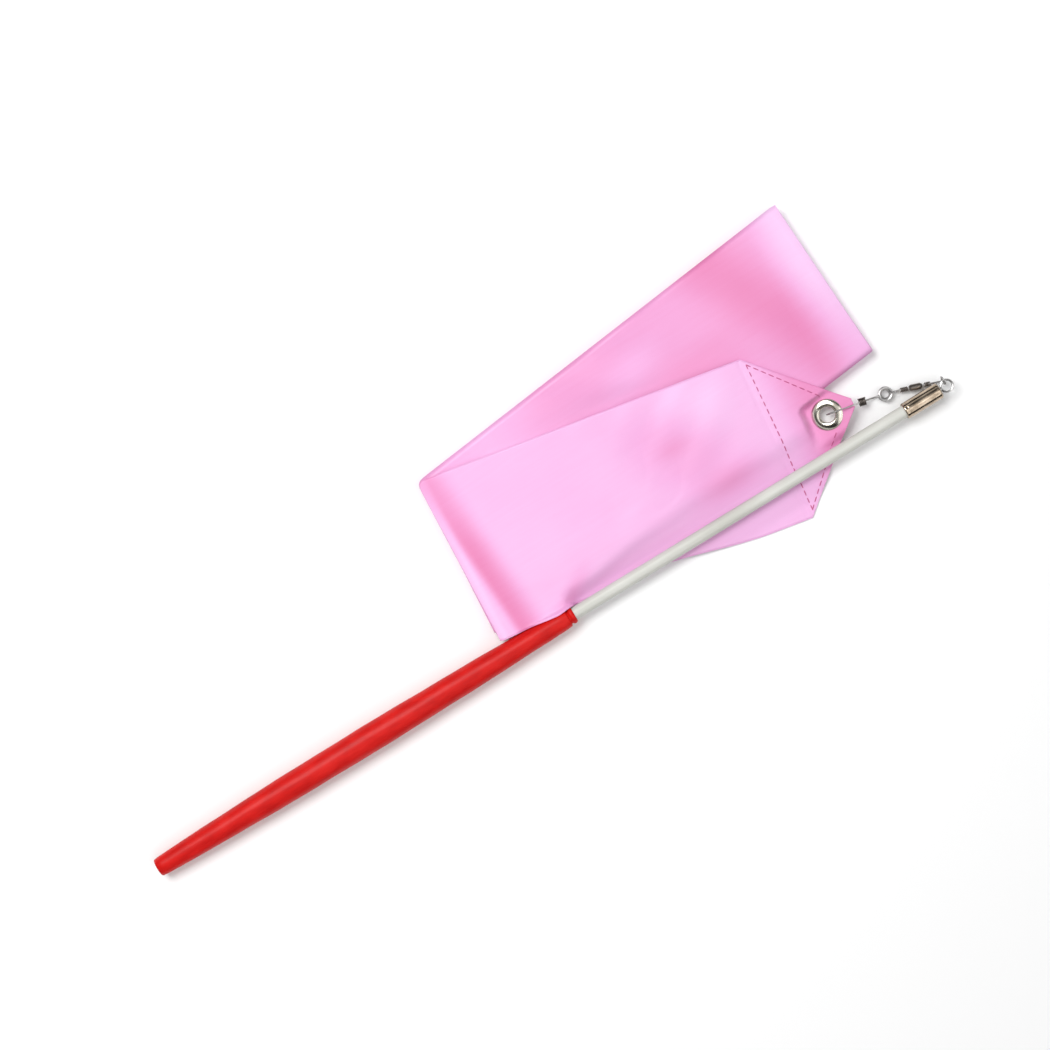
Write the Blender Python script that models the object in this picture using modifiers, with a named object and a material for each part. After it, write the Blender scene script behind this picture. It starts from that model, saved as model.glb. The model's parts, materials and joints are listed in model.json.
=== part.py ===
"""Ribbon wand: a grip on a slim rod, a swivel chain and a folded satin ribbon.

Metres in the file's objects, millimetres in the sizes below. +X runs along the
wand from its butt to its tip, +Y is the side the ribbon lies on, +Z is up. The
origin is the centre of the butt's flat end.
"""

import math

import bmesh
import bpy
from mathutils import Matrix, Vector

MM = 0.001

# Wand
GRIP_LENGTH = 140.0
GRIP_MAX_RADIUS = 4.1
GRIP_MAX_AT = 69.0
GRIP_BUTT_RADIUS = 2.75
GRIP_FRONT_RADIUS = 2.9
GRIP_LIP_WALL = 0.5
GRIP_LIP_LENGTH = 1.6
ROD_RADIUS = 1.9
ROD_END = 259.6
SLEEVE_GAP = 0.2
PLUG_LENGTH = 4.0
FERRULE_COVER = 8.3
FERRULE_LENGTH = 11.9
FERRULE_WALL = 0.35
FERRULE_PLUG_LENGTH = 2.0
TOUCH_GAP = 0.3
PLUG_GAP = 0.1
RUNNING_GAP = 0.07

# Chain
EYE_PIN_RADIUS = 0.45
EYE_HEAD_RADIUS = 1.2
EYE_HEAD_LENGTH = 0.6
EYE_RADIUS = 1.75
EYE_WIRE = 0.35
JUMP_RADIUS = 1.3
JUMP_WIRE = 0.25
SWIVEL_WIRE = 0.25
SWIVEL_EYE_RADIUS = 0.85
REAR_EYE_LENGTH = 3.6
SHANK_RADIUS = 0.32
SHANK_HEAD = 0.52
SHANK_HEAD_LENGTH = 0.5
SHANK_INSIDE = 1.5
BARREL_LENGTH = 3.8
BARREL_RADIUS = 0.95
BARREL_BORE = 0.62
BARREL_END_WALL = 0.7
BARREL_FROM_EYE = 6.0
COLLAR_RADIUS = 0.62
FRONT_SHANK = 4.4
FRONT_EYE_RADIUS = 1.1
SPLIT_RADIUS = 2.1
SPLIT_WIRE = 0.22
SPLIT_COIL_GAP = 0.06
SNAP_WIRE = 0.27
SNAP_EYE_RADIUS = 1.15
WINDING_WIRE = 0.16
WINDING_TURNS = 5
WINDING_PITCH = 0.42
LINK_GAP = 0.12
SWIVEL_HEADING = 161.0
SWIVEL_DIP = 1.5
SPLIT_HEADING = 165.0

# Ribbon
RIBBON_WIDTH = 50.0
CLOTH = 0.4
TIP_HEIGHT = 24.0
CREST_BEHIND_GRIP_END = 22.0
CREST_LOWER_Y = 5.0
CREST_HEADING = 86.4
TIP_HEADING = -6.0
APEX_BEHIND_FERRULE_END = 23.4
APEX_Y = 10.0
APEX_BLUNT = 2.4
PACK_LENGTH = 135.3
PACK_FAR_HEADING = 92.3
PACK_PAST_EYELET = 2.28
EDGE_GAP = 0.3
PACK_THICKNESS = 4.8
EYELET_SETBACK = 7.8
EYELET_FLANGE_RADIUS = 4.6
EYELET_HOLE_RADIUS = 2.3
EYELET_WALL = 0.35
EYELET_FLANGE = 0.45
WASHER_THICKNESS = 0.4
TIP_PITCH = 16.0
EYELET_HEIGHT = 3.5
STRAND_GAP = 0.35

FLOOR = -GRIP_MAX_RADIUS
ROUND = 32

# Sizes that follow from the driving ones

SLEEVE_BORE = ROD_RADIUS + SLEEVE_GAP
GRIP_LIP = SLEEVE_BORE + GRIP_LIP_WALL
FERRULE_RADIUS = SLEEVE_BORE + FERRULE_WALL
FERRULE_START = ROD_END - FERRULE_COVER
FERRULE_END = FERRULE_START + FERRULE_LENGTH
SPLIT_PITCH = 2.0 * SPLIT_WIRE + SPLIT_COIL_GAP
CREST_LOWER = (GRIP_LENGTH - CREST_BEHIND_GRIP_END, CREST_LOWER_Y)
TIP_APEX = (FERRULE_END - APEX_BEHIND_FERRULE_END, APEX_Y)


def unit(heading, dip=0.0):
    """Direction in plan at a heading, tilted down by dip degrees."""
    h, d = math.radians(heading), math.radians(dip)
    return Vector((math.cos(h) * math.cos(d), math.sin(h) * math.cos(d), -math.sin(d)))


def smooth(x, low, high):
    """0 below low, 1 above high, and a smooth step between."""
    t = min(max((x - low) / (high - low), 0.0), 1.0)
    return t * t * (3.0 - 2.0 * t)


def clear_scene():
    for old in list(bpy.data.objects):
        bpy.data.objects.remove(old, do_unlink=True)


def material(name, color, roughness, metallic=0.0):
    mat = bpy.data.materials.new(name)
    mat.use_nodes = True
    shader = mat.node_tree.nodes["Principled BSDF"]
    shader.inputs["Base Color"].default_value = (*color, 1.0)
    shader.inputs["Roughness"].default_value = roughness
    shader.inputs["Metallic"].default_value = metallic
    return mat


def add_object(name, data, where):
    obj = bpy.data.objects.new(name, data)
    where.objects.link(obj)
    return obj


def point_z_along(obj, at, direction):
    """Stand an object's local Z along a direction, with its origin at a point in mm."""
    turn = Vector(direction).to_track_quat("Z", "Y")
    obj.matrix_world = Matrix.Translation(Vector(at) * MM) @ turn.to_matrix().to_4x4()


def apply_place(obj):
    """Put an object's place into its mesh."""
    obj.data.transform(obj.matrix_world)
    obj.matrix_world = Matrix.Identity(4)


def evaluated_mesh(obj):
    bpy.context.view_layer.update()
    seen = obj.evaluated_get(bpy.context.evaluated_depsgraph_get())
    return bpy.data.meshes.new_from_object(seen)


def bake(obj):
    """Replace an object by a mesh object of its evaluated shape, in world space."""
    mesh = evaluated_mesh(obj)
    mesh.transform(obj.matrix_world)
    work = bmesh.new()
    work.from_mesh(mesh)
    bmesh.ops.remove_doubles(work, verts=work.verts, dist=1e-6)
    bmesh.ops.recalc_face_normals(work, faces=work.faces)
    work.to_mesh(mesh)
    work.free()
    name, where = obj.name, obj.users_collection[0]
    bpy.data.objects.remove(obj, do_unlink=True)
    return add_object(name, mesh, where)


def turned(name, profile, at, direction, where, segments=ROUND):
    """A turned solid. The profile is (radius, height) in mm, from the top to the bottom."""
    mesh = bpy.data.meshes.new(name)
    work = bmesh.new()
    verts = [work.verts.new((r * MM, 0.0, z * MM)) for r, z in profile]
    for a, b in zip(verts, verts[1:]):
        work.edges.new((a, b))
    if profile[0][0] > 0.0:
        work.edges.new((verts[-1], verts[0]))
    work.to_mesh(mesh)
    work.free()
    obj = add_object(name, mesh, where)
    screw = obj.modifiers.new("turn", "SCREW")
    screw.steps = screw.render_steps = segments
    screw.use_merge_vertices = True
    screw.merge_threshold = 0.00001
    point_z_along(obj, at, direction)
    return obj


def wire(name, points, radius, where, closed=False, resolution=2):
    """A round wire along points in mm."""
    curve = bpy.data.curves.new(name, "CURVE")
    curve.dimensions = "3D"
    curve.bevel_depth = radius * MM
    curve.bevel_resolution = resolution
    curve.use_fill_caps = True
    spline = curve.splines.new("POLY")
    spline.points.add(len(points) - 1)
    for spot, p in zip(spline.points, points):
        spot.co = (*(Vector(p) * MM), 1.0)
    spline.use_cyclic_u = closed
    return bake(add_object(name, curve, where))


def combine(first, others, operation="UNION"):
    """Boolean of first with others, which are used up. The result keeps first's name."""
    for other in others:
        step = first.modifiers.new("combine", "BOOLEAN")
        step.operation = operation
        step.object = other
        mesh = evaluated_mesh(first)
        first.modifiers.clear()
        first.data = mesh
        bpy.data.objects.remove(other, do_unlink=True)
    return first


def arc(centre, along, up, radius, start, end, steps):
    """Points on an arc, from start to end degrees, measured from along towards up."""
    out = []
    for i in range(steps + 1):
        angle = math.radians(start + (end - start) * i / steps)
        out.append(centre + radius * (math.cos(angle) * along + math.sin(angle) * up))
    return out


def smooth_round(obj):
    obj.data.shade_smooth()
    obj.data.set_sharp_from_angle(angle=math.radians(40))


# Places that follow from the sizes

X_AXIS, Y_AXIS, Z_AXIS = Vector((1, 0, 0)), Vector((0, 1, 0)), Vector((0, 0, 1))
EYE_CENTRE = Vector((FERRULE_END + TOUCH_GAP + EYE_WIRE + EYE_RADIUS, 0, 0))
EYE_SIDE = EYE_CENTRE + EYE_RADIUS * Y_AXIS
JUMP_CENTRE = EYE_SIDE - (JUMP_RADIUS - JUMP_WIRE - EYE_WIRE - LINK_GAP) * Z_AXIS
JUMP_FOOT = JUMP_CENTRE - JUMP_RADIUS * Z_AXIS
SWIVEL_WAY = unit(SWIVEL_HEADING, SWIVEL_DIP)
SWIVEL_UP = (Z_AXIS - Z_AXIS.dot(SWIVEL_WAY) * SWIVEL_WAY).normalized()
SWIVEL_START = JUMP_FOOT - (SWIVEL_EYE_RADIUS - SWIVEL_WIRE - JUMP_WIRE - LINK_GAP) * Z_AXIS
BARREL_START = SWIVEL_START + BARREL_FROM_EYE * SWIVEL_WAY
BARREL_END = BARREL_START + BARREL_LENGTH * SWIVEL_WAY
FRONT_EYE = BARREL_END + FRONT_SHANK * SWIVEL_WAY
FRONT_WIRE = FRONT_EYE + FRONT_EYE_RADIUS * SWIVEL_WAY
SPLIT_WAY = unit(SPLIT_HEADING)
LINK_STEP = SPLIT_WIRE + SWIVEL_WIRE + LINK_GAP
SPLIT_CENTRE = FRONT_WIRE + (SPLIT_RADIUS - LINK_STEP) * SPLIT_WAY
SPLIT_FAR = SPLIT_CENTRE + SPLIT_RADIUS * SPLIT_WAY

TIP_WAY = unit(TIP_HEADING)
TIP_SIDE = Vector((-TIP_WAY.y, TIP_WAY.x, 0))
EYELET = Vector((*TIP_APEX, 0)) - EYELET_SETBACK * TIP_WAY
EYELET.z = FLOOR + EYELET_HEIGHT
TIP_RISE = math.tan(math.radians(TIP_PITCH))
TIP_ALONG = (TIP_WAY + TIP_RISE * Z_AXIS).normalized()
TIP_NORMAL = TIP_ALONG.cross(TIP_SIDE)
PACK_TOP = FLOOR + PACK_THICKNESS
PACK_LOWER = Vector((*CREST_LOWER, 0)) + EDGE_GAP * Y_AXIS
PACK_RISE = EYELET.y + EYELET_FLANGE_RADIUS + PACK_PAST_EYELET - PACK_LOWER.y
PACK_SLOPE = PACK_RISE / (EYELET.x - PACK_LOWER.x)
STRAND_TOP = PACK_TOP + STRAND_GAP + CLOTH / 2
CREST_WAY = unit(CREST_HEADING)


SNAP_STEP = SPLIT_WIRE + SNAP_WIRE + LINK_GAP
SNAP_FLAT = Vector((EYELET.x - SPLIT_FAR.x, EYELET.y - SPLIT_FAR.y, 0))
SNAP_WAY = SNAP_FLAT.normalized()
SNAP_CENTRE = SPLIT_FAR + (SNAP_EYE_RADIUS - SNAP_STEP) * SNAP_WAY
SNAP_SIDE = SNAP_WAY.cross(Z_AXIS)
NECK_FROM_EYELET = 9.4
GATE_FROM_EYELET = 9.7


def over_eyelet(before, height):
    """A point in the snap's plane, before the eyelet's centre and above it, in mm."""
    return EYELET - before * SNAP_WAY + height * Z_AXIS


def grip_radius(x):
    """The grip's outer radius: two arcs that meet at its fattest place."""
    if x < GRIP_MAX_AT:
        share = 1.0 - x / GRIP_MAX_AT
        return GRIP_MAX_RADIUS - (GRIP_MAX_RADIUS - GRIP_BUTT_RADIUS) * share**2.2
    share = (x - GRIP_MAX_AT) / (GRIP_LENGTH - GRIP_MAX_AT)
    return GRIP_MAX_RADIUS - (GRIP_MAX_RADIUS - GRIP_FRONT_RADIUS) * share**1.7


# Wand


def make_wand(parts, red, white, nickel, dark):
    outline = [(SLEEVE_BORE, GRIP_LENGTH), (GRIP_LIP - 0.2, GRIP_LENGTH), (GRIP_LIP, GRIP_LENGTH - 0.4)]
    outline.append((GRIP_LIP, GRIP_LENGTH - GRIP_LIP_LENGTH))
    steps = 16
    for i in range(steps + 1):
        x = (GRIP_LENGTH - GRIP_LIP_LENGTH - 0.6) * (1.0 - i / steps)
        outline.append((grip_radius(max(x, 0.3)) - (0.2 if x == 0.0 else 0.0), x))
    outline.append((SLEEVE_BORE, 0.0))
    grip = turned("grip", outline, (0, 0, 0), X_AXIS, parts)
    plug = [(0.0, PLUG_LENGTH), (ROD_RADIUS, PLUG_LENGTH), (ROD_RADIUS, 0.0), (0.0, 0.0)]
    plug = turned("butt_plug", plug, (0, 0, 0), X_AXIS, parts)
    rod_start = PLUG_LENGTH + TOUCH_GAP
    length = ROD_END - rod_start
    rod = [(0.0, length), (ROD_RADIUS - 0.2, length), (ROD_RADIUS, length - 0.2)]
    rod += [(ROD_RADIUS, 0.0), (0.0, 0.0)]
    rod = turned("rod", rod, (rod_start, 0, 0), X_AXIS, parts)

    length = FERRULE_LENGTH
    ferrule = [(SLEEVE_BORE, length), (FERRULE_RADIUS - 0.15, length), (FERRULE_RADIUS, length - 0.2)]
    ferrule += [(FERRULE_RADIUS, 0.15), (FERRULE_RADIUS - 0.1, 0.0), (SLEEVE_BORE, 0.0)]
    ferrule = turned("ferrule", ferrule, (FERRULE_START, 0, 0), X_AXIS, parts)
    hole = EYE_PIN_RADIUS + RUNNING_GAP
    outer = SLEEVE_BORE - PLUG_GAP
    depth = FERRULE_PLUG_LENGTH
    end_plug = [(hole, depth), (outer, depth), (outer, 0.0), (hole, 0.0)]
    end_plug = turned("ferrule_plug", end_plug, (FERRULE_END - depth, 0, 0), X_AXIS, parts)
    for obj, mat in ((grip, red), (plug, red), (rod, white), (ferrule, nickel), (end_plug, dark)):
        obj.data.materials.append(mat)


# Swivel chain


def make_tip_eye(parts, steel):
    ring = wire("tip_eye", arc(EYE_CENTRE, X_AXIS, Y_AXIS, EYE_RADIUS, 0, 348.75, 31),
                EYE_WIRE, parts, closed=True)
    head_at = FERRULE_END - FERRULE_PLUG_LENGTH - TOUCH_GAP - EYE_HEAD_LENGTH
    pin_end = EYE_CENTRE.x - EYE_RADIUS - head_at
    foot = EYE_HEAD_LENGTH
    pin = [(0.0, pin_end), (EYE_PIN_RADIUS, pin_end), (EYE_PIN_RADIUS, foot)]
    pin += [(EYE_HEAD_RADIUS, foot), (EYE_HEAD_RADIUS, 0.0), (0.0, 0.0)]
    pin = bake(turned("pin", pin, (head_at, 0, 0), X_AXIS, parts, 16))
    combine(ring, [pin]).data.materials.append(steel)


def make_swivel(parts, steel, dark):
    ring = arc(JUMP_CENTRE, Y_AXIS, Z_AXIS, JUMP_RADIUS, 0, 345, 23)
    wire("jump_ring", ring, JUMP_WIRE, parts, closed=True).data.materials.append(steel)

    far = SWIVEL_START + REAR_EYE_LENGTH * SWIVEL_WAY
    loop = arc(SWIVEL_START, SWIVEL_WAY, SWIVEL_UP, SWIVEL_EYE_RADIUS, 90, 270, 12)
    loop += arc(far, SWIVEL_WAY, SWIVEL_UP, SWIVEL_EYE_RADIUS, -90, 90, 12)
    rear = wire("rear_eye", loop, SWIVEL_WIRE, parts, closed=True)
    root = far + SWIVEL_EYE_RADIUS * SWIVEL_WAY
    inside = BARREL_START + SHANK_INSIDE * SWIVEL_WAY
    combine(rear, [shank(root, inside, SWIVEL_WAY, parts)]).data.materials.append(steel)

    loop = arc(FRONT_EYE, SWIVEL_WAY, SWIVEL_UP, FRONT_EYE_RADIUS, 0, 345, 23)
    front = wire("front_eye", loop, SWIVEL_WIRE, parts, closed=True)
    root = FRONT_EYE - FRONT_EYE_RADIUS * SWIVEL_WAY
    inside = BARREL_END - SHANK_INSIDE * SWIVEL_WAY
    combine(front, [shank(root, inside, -SWIVEL_WAY, parts)]).data.materials.append(steel)

    hole = SHANK_RADIUS + RUNNING_GAP
    end = BARREL_END_WALL
    barrel = [(hole, BARREL_LENGTH), (COLLAR_RADIUS, BARREL_LENGTH)]
    barrel.append((BARREL_RADIUS, BARREL_LENGTH - 0.5))
    barrel += [(BARREL_RADIUS, 0.5), (COLLAR_RADIUS, 0.0), (hole, 0.0), (hole, end)]
    barrel += [(BARREL_BORE, end), (BARREL_BORE, BARREL_LENGTH - end), (hole, BARREL_LENGTH - end)]
    turned("swivel_barrel", barrel, BARREL_START, SWIVEL_WAY, parts, 24).data.materials.append(dark)

    coil = []
    for i in range(49):
        angle = math.radians(15.0 * i)
        rise = SPLIT_PITCH * (i / 24.0 - 1.0)
        side = Vector((-SPLIT_WAY.y, SPLIT_WAY.x, 0))
        flat = math.cos(angle) * side + math.sin(angle) * SPLIT_WAY
        coil.append(SPLIT_CENTRE + SPLIT_RADIUS * flat + rise * Z_AXIS)
    wire("split_ring", coil, SPLIT_WIRE, parts).data.materials.append(steel)


def shank(root, inside, way, parts):
    """An eye's shank, from its ring to the head that the barrel holds."""
    length = (inside - root).length
    neck = length - SHANK_HEAD_LENGTH
    profile = [(0.0, length), (SHANK_HEAD, length), (SHANK_HEAD, neck)]
    profile += [(SHANK_RADIUS, neck), (SHANK_RADIUS, 0.0), (0.0, 0.0)]
    return bake(turned("shank", profile, root, way, parts, 16))


def make_snap(parts, steel, dark):
    """The snap's wire loops the split ring, then passes under the tip and up the eyelet."""
    loop = arc(SNAP_CENTRE, SNAP_WAY, Z_AXIS, SNAP_EYE_RADIUS, 55, 325, 18)
    neck_start = SNAP_CENTRE + (SNAP_EYE_RADIUS + 0.7) * SNAP_WAY - 0.1 * Z_AXIS
    neck = over_eyelet(NECK_FROM_EYELET, 0.0)
    path = loop + [neck_start, neck]
    path += [over_eyelet(8.3, 0.1), over_eyelet(7.0, -0.5), over_eyelet(5.0, -1.15)]
    path += [over_eyelet(2.6, -1.7), over_eyelet(1.2, -1.85), over_eyelet(0.4, -1.5)]
    path += [over_eyelet(0.0, -0.8), over_eyelet(0.0, 0.6), over_eyelet(0.2, 1.3)]
    path += [over_eyelet(0.7, 1.75), over_eyelet(1.4, 1.85)]
    wire("snap_body", path, SNAP_WIRE, parts).data.materials.append(steel)

    gate = [over_eyelet(GATE_FROM_EYELET, 0.95), over_eyelet(9.0, 1.7), over_eyelet(8.2, 2.7)]
    gate += [over_eyelet(7.2, 3.0), over_eyelet(5.0, 2.9), over_eyelet(2.8, 2.6)]
    gate += [over_eyelet(1.4, 2.45), over_eyelet(0.6, 2.45)]
    wire("snap_gate", gate, SNAP_WIRE - 0.05, parts).data.materials.append(steel)

    way = (neck - neck_start).normalized()
    side = way.cross(SNAP_SIDE)
    mean = SNAP_WIRE + WINDING_WIRE + 0.06
    per_turn = 12
    start = neck - (WINDING_TURNS * WINDING_PITCH + 0.5) * way
    coil = []
    for i in range(WINDING_TURNS * per_turn + 1):
        angle = 2.0 * math.pi * i / per_turn
        around = math.cos(angle) * SNAP_SIDE + math.sin(angle) * side
        coil.append(start + mean * around + WINDING_PITCH * i / per_turn * way)
    wire("wound_neck", coil, WINDING_WIRE, parts).data.materials.append(dark)


# Ribbon


def pack_edge(x):
    """Where the folded ribbon's lower edge is, at a place along the wand."""
    return PACK_LOWER.y + (x - PACK_LOWER.x) * PACK_SLOPE


def clear_of_grip(x, y):
    """How far the strand's lower edge moves aside where the grip is in its way."""
    lift = max(max(grip_radius(min(x, GRIP_LENGTH)), GRIP_LIP) + EDGE_GAP - y, 0.0)
    return lift * (1.0 - smooth(x, GRIP_LENGTH + 0.5, GRIP_LENGTH + 8.0))


def strand_height(x, y):
    """The middle of the free strand's cloth: on the pack, under the rod, up at its tip."""
    rod_side = ROD_RADIUS + 0.4
    under = -ROD_RADIUS - STRAND_GAP - CLOTH / 2
    ground = FLOOR + CLOTH / 2 + 0.1
    low = under + (ground - under) * smooth(-y, rod_side, 9.0)
    lap = min(pack_edge(x), 12.5)
    drooped = low + (STRAND_TOP - low) * smooth(y, rod_side, lap - 0.4)
    z = STRAND_TOP + (drooped - STRAND_TOP) * smooth(x, GRIP_LENGTH - 3.0, GRIP_LENGTH + 2.2)
    spot = Vector((x, y, 0)) - Vector((EYELET.x, EYELET.y, 0))
    plane = EYELET.z + spot.dot(TIP_WAY) * TIP_RISE
    near = 1.0 - smooth(spot.length, 8.4, 15.0)
    near *= smooth(y, rod_side, 5.0) * smooth(spot.dot(TIP_WAY), -8.0, -4.7)
    near *= 1.0 - smooth(y, pack_edge(x) - 2.0, pack_edge(x) - 0.3)
    return z + (plane - z) * near


def strand_edges():
    """Matching points along the strand's lower and upper edges."""
    lower = Vector((*CREST_LOWER, 0))
    upper = lower + (RIBBON_WIDTH + 0.7) * CREST_WAY
    apex = Vector((*TIP_APEX, 0))
    half = RIBBON_WIDTH / 2 * TIP_SIDE
    low_corner = apex - TIP_HEIGHT * TIP_WAY - half
    high_corner = apex - TIP_HEIGHT * TIP_WAY + half
    rows = []
    body_rows = 32
    for i in range(body_rows + 1):
        share = i / body_rows
        a = lower.lerp(low_corner, share)
        rows.append((a + clear_of_grip(a.x, a.y) * Y_AXIS, upper.lerp(high_corner, share)))
    tip_rows = 12
    blunt = APEX_BLUNT / 2 * TIP_SIDE
    for i in range(1, tip_rows + 1):
        share = i / tip_rows
        rows.append((low_corner.lerp(apex - blunt, share), high_corner.lerp(apex + blunt, share)))
    return rows


def make_strand(parts, cutters, satin):
    mesh = bpy.data.meshes.new("ribbon_strand")
    work = bmesh.new()
    across = 24
    grid = []
    for a, b in strand_edges():
        row = []
        for j in range(across + 1):
            p = a.lerp(b, j / across)
            p.z = strand_height(p.x, p.y)
            row.append(work.verts.new(p * MM))
        grid.append(row)
    for first, second in zip(grid, grid[1:]):
        for j in range(across):
            work.faces.new((first[j], second[j], second[j + 1], first[j + 1]))
    work.to_mesh(mesh)
    work.free()
    strand = add_object("ribbon_strand", mesh, parts)
    shell = strand.modifiers.new("cloth", "SOLIDIFY")
    shell.thickness = CLOTH * MM
    shell.offset = 0.0
    radius = EYELET_HOLE_RADIUS + EYELET_WALL + TOUCH_GAP
    hole = [(0.0, 2.0), (radius, 2.0), (radius, -2.0), (0.0, -2.0)]
    cutter = turned("eyelet_hole", hole, EYELET, TIP_NORMAL, cutters, 24)
    cutter.hide_render = True
    cutter.display_type = "WIRE"
    cut = strand.modifiers.new("eyelet_hole", "BOOLEAN")
    cut.operation = "DIFFERENCE"
    cut.object = cutter
    strand.data.materials.append(satin)


def make_eyelet(parts, nickel, brass):
    inner = EYELET_HOLE_RADIUS
    outer = inner + EYELET_WALL
    top = CLOTH / 2 + 0.12
    washer_top = -top
    washer_low = washer_top - WASHER_THICKNESS
    roll = washer_low - 0.1
    wide = EYELET_FLANGE_RADIUS
    ring = [(inner, top + EYELET_FLANGE * 0.6), (inner + 0.5, top + EYELET_FLANGE)]
    ring += [(wide - 0.7, top + EYELET_FLANGE * 0.8), (wide, top), (outer, top), (outer, roll)]
    ring += [(outer + 0.8, roll), (outer + 0.8, roll - 0.15), (outer, roll - 0.35), (inner, roll - 0.2)]
    turned("eyelet", ring, EYELET, TIP_NORMAL, parts).data.materials.append(nickel)
    hole = outer + 0.12
    disc = [(hole, washer_top), (wide - 0.3, washer_top), (wide - 0.3, washer_low), (hole, washer_low)]
    turned("eyelet_washer", disc, EYELET, TIP_NORMAL, parts).data.materials.append(brass)


def make_pack(parts, satin):
    """The folded length: a flat block with its fold ends rounded."""
    low_far = PACK_LOWER + PACK_LENGTH * Vector((1.0, PACK_SLOPE, 0.0)).normalized()
    high_near = PACK_LOWER + (RIBBON_WIDTH + 0.4) * CREST_WAY
    high_far = low_far + (RIBBON_WIDTH + 0.2) * unit(PACK_FAR_HEADING)
    corners = (PACK_LOWER, low_far, high_far, high_near)
    mesh = bpy.data.meshes.new("ribbon_pack")
    work = bmesh.new()
    bmesh.ops.create_cube(work, size=1.0)
    for vert in work.verts:
        corner = (0 if vert.co.y < 0 else 3) if vert.co.x < 0 else (1 if vert.co.y < 0 else 2)
        height = PACK_TOP if vert.co.z > 0 else FLOOR
        vert.co = (corners[corner] + height * Z_AXIS) * MM
    work.to_mesh(mesh)
    work.free()
    pack = add_object("ribbon_pack", mesh, parts)
    edge = pack.modifiers.new("rounded", "BEVEL")
    edge.width = 1.2 * MM
    edge.segments = 3
    edge.limit_method = "ANGLE"
    pack.data.materials.append(satin)


def main():
    clear_scene()
    parts = bpy.data.collections.new("ribbon_wand")
    cutters = bpy.data.collections.new("cutters")
    for collection in (parts, cutters):
        bpy.context.scene.collection.children.link(collection)
    red = material("grip_red", (0.72, 0.03, 0.03), 0.3)
    white = material("rod_white", (0.78, 0.78, 0.72), 0.4)
    nickel = material("nickel", (0.7, 0.66, 0.6), 0.2, 1.0)
    steel = material("steel_wire", (0.6, 0.6, 0.6), 0.3, 1.0)
    dark = material("dark_metal", (0.12, 0.1, 0.1), 0.35, 1.0)
    satin = material("pink_satin", (0.9, 0.4, 0.68), 0.35)
    make_wand(parts, red, white, nickel, dark)
    make_tip_eye(parts, steel)
    make_swivel(parts, steel, dark)
    make_snap(parts, steel, dark)
    make_strand(parts, cutters, satin)
    make_eyelet(parts, nickel, steel)
    make_pack(parts, satin)
    for obj in parts.objects:
        smooth_round(obj)


main()
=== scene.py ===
"""Ribbon wand: the looks of the grip, rod, metal chain and folded satin ribbon."""

import json
import math
import random

import bmesh
import bpy
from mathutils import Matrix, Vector


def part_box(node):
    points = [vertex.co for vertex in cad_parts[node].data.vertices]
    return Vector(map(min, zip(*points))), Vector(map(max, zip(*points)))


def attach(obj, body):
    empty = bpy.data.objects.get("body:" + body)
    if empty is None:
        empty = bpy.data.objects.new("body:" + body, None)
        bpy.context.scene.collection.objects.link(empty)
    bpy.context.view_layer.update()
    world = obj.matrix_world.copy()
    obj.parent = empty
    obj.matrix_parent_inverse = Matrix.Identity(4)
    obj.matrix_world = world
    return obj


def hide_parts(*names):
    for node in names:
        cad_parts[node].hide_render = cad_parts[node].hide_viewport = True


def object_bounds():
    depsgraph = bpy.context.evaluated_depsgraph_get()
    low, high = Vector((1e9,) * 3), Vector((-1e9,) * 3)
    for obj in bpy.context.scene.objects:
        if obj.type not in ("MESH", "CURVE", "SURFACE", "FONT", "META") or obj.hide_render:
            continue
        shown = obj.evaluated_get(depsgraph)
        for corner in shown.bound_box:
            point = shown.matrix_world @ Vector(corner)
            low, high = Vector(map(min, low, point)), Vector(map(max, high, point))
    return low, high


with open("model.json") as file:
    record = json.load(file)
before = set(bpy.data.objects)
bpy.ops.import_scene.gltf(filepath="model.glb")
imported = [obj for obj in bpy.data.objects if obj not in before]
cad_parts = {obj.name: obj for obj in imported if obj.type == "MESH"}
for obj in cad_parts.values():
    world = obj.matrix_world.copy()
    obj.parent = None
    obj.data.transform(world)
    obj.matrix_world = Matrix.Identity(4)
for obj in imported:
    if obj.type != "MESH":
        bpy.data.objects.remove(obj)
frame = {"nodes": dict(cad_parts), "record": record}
CAD_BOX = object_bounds()

MM = 0.001

# Places and sizes that the frame gives, in mm

JOINTS = {j["name"]: j for j in frame["record"]["behaviour"]["joints"]}


def box_mm(node):
    low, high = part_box(node)
    return Vector(low) / MM, Vector(high) / MM


def pivot(joint):
    return Vector(JOINTS[joint]["pos_m"]) / MM


def axis(joint):
    return Vector(JOINTS[joint]["axis"]).normalized()


X_AXIS, Y_AXIS, Z_AXIS = Vector((1, 0, 0)), Vector((0, 1, 0)), Vector((0, 0, 1))
FLOOR = CAD_BOX[0][2] / MM
GRIP_LENGTH, _, GRIP_MAX_RADIUS = box_mm("grip")[1]
ROD_LOW, ROD_HIGH = box_mm("rod")
FERRULE_LOW, FERRULE_HIGH = box_mm("ferrule")
ROD_RADIUS = ROD_HIGH.z
FERRULE_RADIUS = FERRULE_HIGH.z
EYELET, TIP_NORMAL = pivot("strand_turn"), axis("strand_turn")
CREST, CREST_WAY = pivot("ribbon_unfold"), axis("ribbon_unfold")
PACK_TOP = box_mm("ribbon_pack")[1].z

# Shape of the grip

GRIP_MAX_AT = 69.0
GRIP_BUTT_RADIUS = 2.75
GRIP_FRONT_RADIUS = 2.9
GRIP_LIP = 2.6
LIP_LENGTH = 2.2

# Shape of the metal

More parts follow.
